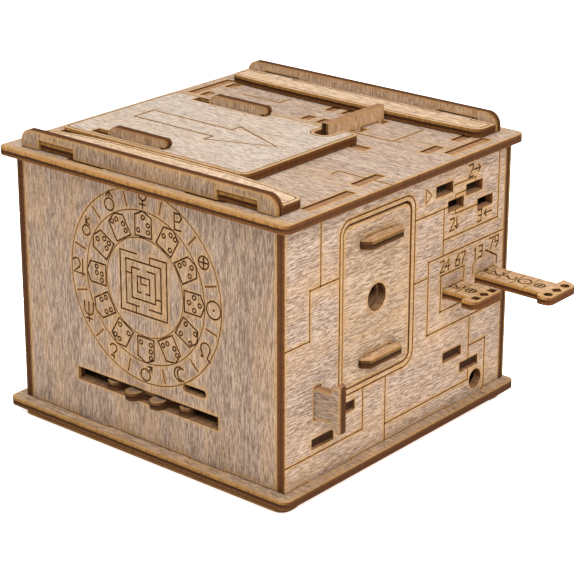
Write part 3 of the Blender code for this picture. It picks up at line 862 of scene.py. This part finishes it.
class Shader:
    """A short way to write a node tree: every method adds a node and returns its output."""

    def __init__(self, name):
        self.material = bpy.data.materials.new(name)
        self.material.use_nodes = True
        self.tree = self.material.node_tree
        self.shader = self.tree.nodes["Principled BSDF"]

    def feed(self, socket, value):
        if isinstance(value, bpy.types.NodeSocket):
            self.tree.links.new(value, socket)
        else:
            socket.default_value = value

    def attribute(self, name, output="Fac"):
        node = self.tree.nodes.new("ShaderNodeAttribute")
        node.attribute_name = name
        return node.outputs[output]

    def scaled(self, vector, scale, shift=(0.0, 0.0, 0.0)):
        node = self.tree.nodes.new("ShaderNodeVectorMath")
        node.operation = "MULTIPLY_ADD"
        self.feed(node.inputs[0], vector)
        node.inputs[1].default_value = scale
        node.inputs[2].default_value = shift
        return node.outputs[0]

    def noise(self, vector, detail=3.0, roughness=0.6, distortion=0.0):
        node = self.tree.nodes.new("ShaderNodeTexNoise")
        self.feed(node.inputs["Vector"], vector)
        node.inputs["Scale"].default_value = 1.0
        node.inputs["Detail"].default_value = detail
        node.inputs["Roughness"].default_value = roughness
        node.inputs["Distortion"].default_value = distortion
        return node.outputs["Fac"]

    def math(self, operation, a, b=0.0, c=0.0):
        node = self.tree.nodes.new("ShaderNodeMath")
        node.operation = operation
        for socket, value in zip(node.inputs, (a, b, c)):
            self.feed(socket, value)
        return node.outputs[0]

    def span(self, value, low, high, to_low=0.0, to_high=1.0):
        """The value's place between low and high, smoothed and clamped."""
        node = self.tree.nodes.new("ShaderNodeMapRange")
        node.interpolation_type = "SMOOTHSTEP"
        self.feed(node.inputs["Value"], value)
        node.inputs["From Min"].default_value = low
        node.inputs["From Max"].default_value = high
        node.inputs["To Min"].default_value = to_low
        node.inputs["To Max"].default_value = to_high
        return node.outputs["Result"]

    def mix(self, share, first, second):
        node = self.tree.nodes.new("ShaderNodeMix")
        node.data_type = "RGBA"
        self.feed(node.inputs[0], share)
        self.feed(node.inputs[FIRST_COLOUR], first)
        self.feed(node.inputs[SECOND_COLOUR], second)
        return node.outputs[MIXED_COLOUR]

    def tint(self, colour, shade, value, low, high, share):
        """The colour, with up to this share of the shade over it as the value nears high."""
        return self.mix(self.span(value, low, high, 0.0, share), colour, linear(*shade))

    def bump(self, height, distance, strength):
        node = self.tree.nodes.new("ShaderNodeBump")
        self.feed(node.inputs["Height"], height)
        node.inputs["Distance"].default_value = distance
        node.inputs["Strength"].default_value = strength
        return node.outputs[0]

    def done(self, colour, roughness, normal=None, specular=SHEEN):
        """The finished material."""
        self.feed(self.shader.inputs["Base Color"], colour)
        self.feed(self.shader.inputs["Roughness"], roughness)
        self.shader.inputs["Specular IOR Level"].default_value = specular
        if normal is not None:
            self.feed(self.shader.inputs["Normal"], normal)
        return self.material


@dataclass
class Tone:
    """The stain of a piece, as display colours from 0 to 255, how strongly it is scorched, and its
    painted top light.
    """

    light: tuple
    dark: tuple
    honey: float  # share of warmer patches
    scorch: float  # share of gold towards a cut
    halo: float  # share of gold towards a groove
    edge: float = 1.0  # brightness of the cut edges
    painted_top_light: float = 0.75  # share of painted top light, a paler tint on edges that face up


# light, dark, honey, scorch, halo
WALNUT = Tone((156, 135, 117), (107, 88, 74), 0.25, 0.55, 0.45, edge=0.76)
RAIL = Tone((156, 133, 111), (104, 81, 62), 0.2, 0.6, 0.3, edge=0.85, painted_top_light=0.0)
PLATE = Tone((175, 154, 137), (127, 107, 91), 0.2, 0.75, 0.4, edge=0.88)
LID = Tone((184, 170, 156), (147, 131, 117), 0.15, 0.75, 0.3)
WALL = Tone((178, 156, 138), (122, 99, 81), 0.25, 0.6, 0.6, edge=0.88)
DOOR = Tone((175, 151, 126), (124, 99, 77), 0.35, 0.6, 0.5, edge=0.7)
AMBER = Tone((202, 166, 131), (154, 119, 89), 0.3, 0.5, 0.3, edge=0.66)
STRIP = Tone((200, 175, 148), (154, 128, 104), 0.3, 0.3, 0.2, edge=0.9)
SLIDER = Tone((186, 160, 134), (134, 106, 84), 0.25, 0.5, 0.3, edge=0.85, painted_top_light=0.0)
BASE = Tone((172, 148, 122), (124, 99, 80), 0.3, 0.6, 0.3, edge=0.8)
STICK = Tone((194, 162, 128), (144, 112, 82), 0.35, 0.5, 0.3, edge=0.95)
TOOTH = Tone((140, 113, 94), (92, 71, 58), 0.2, 0.4, 0.2, edge=0.6)
# the pieces inside are stained dark as painted shade of the box's interior
SHADED_INSIDE = Tone((94, 73, 53), (60, 44, 31), 0.2, 0.3, 0.2, edge=0.5)

GOLD = (164, 124, 70)
HONEY = (178, 140, 96)
TOAST = (100, 62, 34)
CHAR_AND_HOLE_SHADE = (38, 22, 14)
PORE = (78, 58, 46)
# painted top light: the paler tint of cut edges that face up
PAINTED_TOP_LIGHT_TINT = (156, 117, 86)
SOOT = (58, 34, 19)
# painted highlight along the chamfers of cut edges
PAINTED_RIM_HIGHLIGHT = (180, 142, 94)
OUTER_PLY = ((166, 120, 64), (102, 64, 35))  # cut along the outer grain, and across it
MIDDLE_PLY = ((62, 37, 19), (84, 50, 27))
INNER_PLY = ((112, 71, 37), (96, 58, 32))
# The burnt line colours also serve as painted shade on hole chamfers and on the walls of small
# holes
BURNT_LINE_AND_HOLE_SHADE = (88, 57, 30)
SCORED_LINE = ((124, 87, 48), (80, 50, 26))

# Noise frequencies per millimetre: along the grain, across it and through the sheet
FIBRES = (0.24, 2.2, 0.5)
BANDS = (0.012, 0.2, 0.3)
WARM_PATCHES = (0.02, 0.09, 0.3)
PORES = (0.36, 2.6, 0.5)
SCORCH_EDGE = (0.22, 0.3, 0.4)
CUT_STREAKS = (1.3, 1.3, 0.12)
PLY_WANDER = (0.3, 0.3, 0.05)
CHAR_SPECKS = (0.5, 0.5, 0.5)
FIBRE_SHARE, BAND_SHARE = 0.87, 0.13
RAGGED = 1.8  # how far the edge of a scorched zone wanders
FINE_RELIEF = 0.0001  # height of the fibres and streaks, in metres


def face_material(name, tone):
    """Stained birch: fine fibres and dark pores along the grain, scorched towards the cuts."""
    wood = Shader(name)
    grain = wood.attribute("grain", "Vector")
    fibre = wood.noise(wood.scaled(grain, FIBRES), 3.0, 0.85)
    band = wood.noise(wood.scaled(grain, BANDS, (3.0, 7.0, 0.0)), 3.0, 0.6, 0.4)
    mottled = wood.math("MULTIPLY", fibre, FIBRE_SHARE)
    mottled = wood.math("MULTIPLY_ADD", band, BAND_SHARE, mottled)
    colour = wood.mix(wood.span(mottled, 0.42, 0.59), linear(*tone.dark), linear(*tone.light))
    warmth = wood.noise(wood.scaled(grain, WARM_PATCHES, (1.0, 5.0, 0.0)), 3.0, 0.6, 0.5)
    colour = wood.tint(colour, HONEY, warmth, 0.45, 0.68, tone.honey)
    pores = wood.noise(wood.scaled(grain, PORES, (5.0, 1.0, 0.0)), 1.0, 0.7)
    pore_share = wood.span(pores, 0.55, 0.68, 0.0, 0.6)
    colour = wood.mix(pore_share, colour, linear(*PORE))
    uneven = wood.noise(wood.scaled(grain, SCORCH_EDGE, (1.0, 4.0, 0.0)), 3.0)
    ragged = wood.math("MULTIPLY", uneven, RAGGED)
    cut, groove = wood.attribute("cut"), wood.attribute("groove")
    colour = wood.tint(colour, GOLD, wood.math("SUBTRACT", cut, ragged), 0.9, -0.8, tone.scorch)
    colour = wood.tint(colour, GOLD, wood.math("SUBTRACT", groove, ragged), 0.5, -0.8, tone.halo)
    colour = wood.tint(colour, TOAST, cut, 0.35, 0.1, 0.6)
    normal = wood.bump(wood.math("SUBTRACT", fibre, pore_share), FINE_RELIEF, 0.8)
    return wood.done(colour, wood.span(fibre, 0.3, 0.7, 0.78, 0.64), normal)


def edge_material(name, tone):
    """Three plies across a laser cut, told apart best where the cut runs along the outer grain."""
    wood = Shader(name)
    grain = wood.attribute("grain", "Vector")
    end = wood.attribute("end")

    def ply_colour(along, across):
        shades = [linear(*[tone.edge * c for c in colour]) for colour in (along, across)]
        return wood.mix(end, *shades)

    streak = wood.noise(wood.scaled(grain, CUT_STREAKS), 3.0, 0.7)
    wander = wood.noise(wood.scaled(grain, PLY_WANDER, (2.0, 9.0, 0.0)), 2.0)
    level = wood.attribute("ply")
    ply = wood.math("MULTIPLY_ADD", wander, 0.16, wood.math("SUBTRACT", level, 0.08))
    outer, middle, inner = ply_colour(*OUTER_PLY), ply_colour(*MIDDLE_PLY), ply_colour(*INNER_PLY)
    colour = wood.mix(wood.span(ply, 0.30, 0.40), outer, middle)
    colour = wood.mix(wood.span(ply, 0.64, 0.72), colour, inner)
    # painted top light: edges that face up get a paler tint
    painted_top_light = wood.math("MULTIPLY", wood.attribute("painted_top_light"), tone.painted_top_light)
    colour = wood.mix(painted_top_light, colour, linear(*PAINTED_TOP_LIGHT_TINT))
    # painted highlight: a bright tint on the chamfers at both faces
    rim = wood.math("ABSOLUTE", wood.math("SUBTRACT", level, 0.5))
    colour = wood.tint(colour, PAINTED_RIM_HIGHLIGHT, rim, 0.44, 0.49, 0.6)
    colour = wood.tint(colour, SOOT, streak, 0.4, 0.72, 0.6)
    return wood.done(colour, 0.8, wood.bump(streak, FINE_RELIEF, 0.7), NO_SHEEN)


def groove_material(name, light, dark):
    """The floor of an engraved line, also used as painted shade around and inside holes."""
    wood = Shader(name)
    speck = wood.noise(wood.scaled(wood.attribute("grain", "Vector"), CHAR_SPECKS), 3.0)
    colour = wood.mix(wood.span(speck, 0.38, 0.62), linear(*dark), linear(*light))
    return wood.done(colour, 0.9, wood.bump(speck, FINE_RELIEF / 2, 0.5), NO_SHEEN)


# -------------------------------- pieces

FINE_SPACING = 0.6  # between the points of small pieces
STICK_SPACING = 0.7
INNER_SPACING = 1.6
NEXT_GRAIN = 37.0  # how far apart two pieces are cut from the same noise


@dataclass
class Finish:
    """How one piece is dressed: its stain, its grain, its carved side and its engraving."""

    tone: Tone
    grain: int  # the axis that the outer grain runs along
    side: int = 1  # whether the carved face looks along its axis or against it
    engraving: object = None
    spacing: float = 0.9
    baked: int = None  # the axis along whose low side the wood is scorched further


FINISHES = {
    "base_plate": Finish(BASE, X),
    "top_plate": Finish(PLATE, X, 1, lambda pen: score(pen, TOP_PLATE_LINES), baked=Y),
    "front_panel": Finish(WALNUT, Z, -1, engrave_dial),
    "right_wall": Finish(WALL, Y, 1, engrave_right_wall),
    "left_wall": Finish(WALNUT, Y, -1, lambda pen: score(pen, LEFT_WALL_LINES)),
    "back_panel": Finish(WALNUT, Z, 1, lambda pen: score(pen, BACK_PANEL_LINES)),
    "front_foot": Finish(BASE, X, -1),
    "rear_foot": Finish(BASE, X, -1),
    "front_rail": Finish(RAIL, Z, -1),
    "rear_rail": Finish(SLIDER, Z, -1),
    "front_rail_strip": Finish(STRIP, X, 1, engrave_strip),
    "rear_rail_strip": Finish(STRIP, X, 1, engrave_strip),
    "lid": Finish(LID, X, 1, engrave_lid),
    "lid_slider_front": Finish(SLIDER, Z, -1, spacing=FINE_SPACING),
    "lid_slider_rear": Finish(SLIDER, Z, -1, spacing=FINE_SPACING),
    "lock_bar": Finish(AMBER, Z, spacing=FINE_SPACING),
    "code_wheel": Finish(TOOTH, X),
    "door_panel": Finish(DOOR, Y),
    "door_handle_upper": Finish(AMBER, Y, spacing=FINE_SPACING),
    "door_handle_lower": Finish(AMBER, Y, spacing=FINE_SPACING),
    "pull_latch": Finish(WALNUT, X, -1, spacing=FINE_SPACING),
    "code_stick_short": Finish(STICK, X, 1, engrave_short_stick, STICK_SPACING),
    "code_stick_long": Finish(STICK, X, 1, engrave_long_stick, STICK_SPACING),
}
AXLE = "wheel_axle"
AXLE_EASE = 0.0005  # in metres, as everything about the axle
AXLE_TURNS = 40
BODY_OF = {n: body for body, nodes in frame["record"]["behaviour"]["bodies"].items() for n in nodes}


def default_finish(node):
    """The plain finish of the pieces inside, darkened as painted shade of the box's interior."""
    grain_of = {X: Z, Y: Z, Z: X}
    low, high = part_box(node)
    return Finish(SHADED_INSIDE, grain_of[int(np.argmin(high - low))], spacing=INNER_SPACING)


def stand_in(mesh, node):
    """Puts a mesh in the place of a plain CAD node, on the same body."""
    piece = bpy.data.objects.new(mesh.name, mesh)
    bpy.context.scene.collection.objects.link(piece)
    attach(piece, BODY_OF[node])
    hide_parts(node)


def dress(node, seed, grooves):
    """Makes a carved, scorched and engraved piece of a plain CAD sheet."""
    finish = FINISHES.get(node) or default_finish(node)
    sheet = Sheet(node)
    pen = sheet.pen()
    if finish.engraving:
        finish.engraving(pen)
    carving = Carving(sheet, finish.side, pen, finish.spacing)
    grain = finish.grain if finish.grain in sheet.axes else sheet.axes[0]
    mesh = carving.mesh(node + "_cut", grain, NEXT_GRAIN * seed, finish.baked)
    mesh.materials.append(face_material(node + "_face", finish.tone))
    mesh.materials.append(edge_material(node + "_edge", finish.tone))
    for groove in grooves:
        mesh.materials.append(groove)
    stand_in(mesh, node)


def dress_axle():
    """A turned dowel with eased ends, in place of the plain CAD cylinder."""
    low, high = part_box(AXLE)
    middle = (low + high) / 2
    radius = (high.x - low.x) / 2
    rings = (
        (radius - AXLE_EASE, low.z),
        (radius, low.z + AXLE_EASE),
        (radius, high.z - AXLE_EASE),
        (radius - AXLE_EASE, high.z),
    )
    points = []
    for distance, height in rings:
        for i in range(AXLE_TURNS):
            x, y = polar((middle.x, middle.y), distance, math.tau * i / AXLE_TURNS)
            points.append((x, y, height))
    last = (len(rings) - 1) * AXLE_TURNS
    faces = [list(range(AXLE_TURNS))[::-1], list(range(last, last + AXLE_TURNS))]
    for a in range(0, last, AXLE_TURNS):
        for i in range(AXLE_TURNS):
            j = (i + 1) % AXLE_TURNS
            faces.append([a + i, a + j, a + AXLE_TURNS + j, a + AXLE_TURNS + i])
    mesh = bpy.data.meshes.new(AXLE + "_turned")
    mesh.from_pydata(points, [], faces)
    mesh.shade_smooth()
    mesh.set_sharp_from_angle(angle=CREASE)
    grain = mesh.attributes.new("grain", "FLOAT_VECTOR", "POINT")
    grain.data.foreach_set("vector", [c / MM for x, y, z in points for c in (z, x, y)])
    for label in ("cut", "groove"):
        attribute = mesh.attributes.new(label, "FLOAT", "POINT")
        attribute.data.foreach_set("value", [FAR] * len(points))
    mesh.materials.append(face_material(AXLE + "_face", SHADED_INSIDE))
    stand_in(mesh, AXLE)


# -------------------------------- studio

WHITE = (1.0, 1.0, 1.0)
WARM_WHITE = (1.0, 0.98, 0.95)
FLOOR_HALF = 6.0  # lengths in the studio are in metres
FLOOR_GLOW = 0.6  # the floor's own light, which softens the shadow at the box's foot
WORLD_GLOW = 0.72
LAMPS = (  # name, place, width, power, colour
    ("key", (0.75, -0.55, 0.95), 0.7, 16.0, WARM_WHITE),
    ("top", (-0.1, 0.1, 1.2), 0.9, 9.0, WHITE),
)
# The camera, as fitted to the edges of the plates and walls
CAMERA_PLACE = (501.1, -440.6, 299.2)  # in design coordinates
CAMERA_AZIMUTH, CAMERA_ELEVATION, CAMERA_ROLL = 40.65, 19.58, -0.13  # in degrees
LENS, SENSOR = 125.75, 36.0
SHIFT = (0.0344, -0.1068)


def add_floor():
    ends = (-FLOOR_HALF, FLOOR_HALF)
    corners = [(ends[i], ends[j], 0) for i, j in ((0, 0), (1, 0), (1, 1), (0, 1))]
    mesh = bpy.data.meshes.new("studio_floor")
    mesh.from_pydata(corners, [], [(0, 1, 2, 3)])
    floor = Shader("studio_floor")
    coordinates = floor.tree.nodes.new("ShaderNodeTexCoord").outputs["Object"]
    speck = floor.noise(floor.scaled(coordinates, (40.0, 40.0, 40.0)), 2.0)
    colour = floor.mix(speck, linear(250, 250, 250), linear(255, 255, 255))
    mesh.materials.append(floor.done(colour, 0.9))
    floor.shader.inputs["Emission Color"].default_value = (*WHITE, 1.0)
    floor.shader.inputs["Emission Strength"].default_value = FLOOR_GLOW
    plane = bpy.data.objects.new("studio_floor", mesh)
    bpy.context.scene.collection.objects.link(plane)


def add_lamp(name, place, target, width, power, colour):
    light = bpy.data.lights.new(name, "AREA")
    light.shape = "DISK"
    light.size = width
    light.energy = power
    light.color = colour
    lamp = bpy.data.objects.new(name, light)
    lamp.location = place
    lamp.rotation_euler = (target - Vector(place)).to_track_quat("-Z", "Y").to_euler()
    bpy.context.scene.collection.objects.link(lamp)


def add_world():
    world = bpy.data.worlds.new("studio")
    world.use_nodes = True
    background = world.node_tree.nodes["Background"]
    background.inputs["Color"].default_value = (*WHITE, 1.0)
    background.inputs["Strength"].default_value = WORLD_GLOW
    bpy.context.scene.world = world


def add_camera():
    camera = bpy.data.objects.new("camera", bpy.data.cameras.new("camera"))
    azimuth, elevation = math.radians(CAMERA_AZIMUTH), math.radians(CAMERA_ELEVATION)
    turn = Matrix.Rotation(azimuth, 4, "Z") @ Matrix.Rotation(math.pi / 2 - elevation, 4, "X")
    turn = turn @ Matrix.Rotation(math.radians(CAMERA_ROLL), 4, "Z")
    camera.matrix_world = Matrix.Translation(Vector(np.array(CAMERA_PLACE) + DATUM) * MM) @ turn
    camera.data.lens = LENS
    camera.data.sensor_width = SENSOR
    camera.data.shift_x, camera.data.shift_y = SHIFT
    camera.data.clip_start = 0.01
    bpy.context.scene.collection.objects.link(camera)
    bpy.context.scene.camera = camera


def build():
    burnt_and_shade_material = groove_material("burnt_line_and_hole_shade", BURNT_LINE_AND_HOLE_SHADE, CHAR_AND_HOLE_SHADE)
    scored = groove_material("scored_line", *SCORED_LINE)
    for seed, node in enumerate(sorted(frame["nodes"])):
        if node == AXLE:
            dress_axle()
        else:
            dress(node, seed, (burnt_and_shade_material, scored))
    add_floor()
    add_world()
    middle = (Vector(cad_box[0]) + Vector(cad_box[1])) / 2
    for name, place, width, power, colour in LAMPS:
        add_lamp(name, place, middle, width, power, colour)
    add_camera()
    bpy.context.scene.view_settings.view_transform = "Standard"


build()
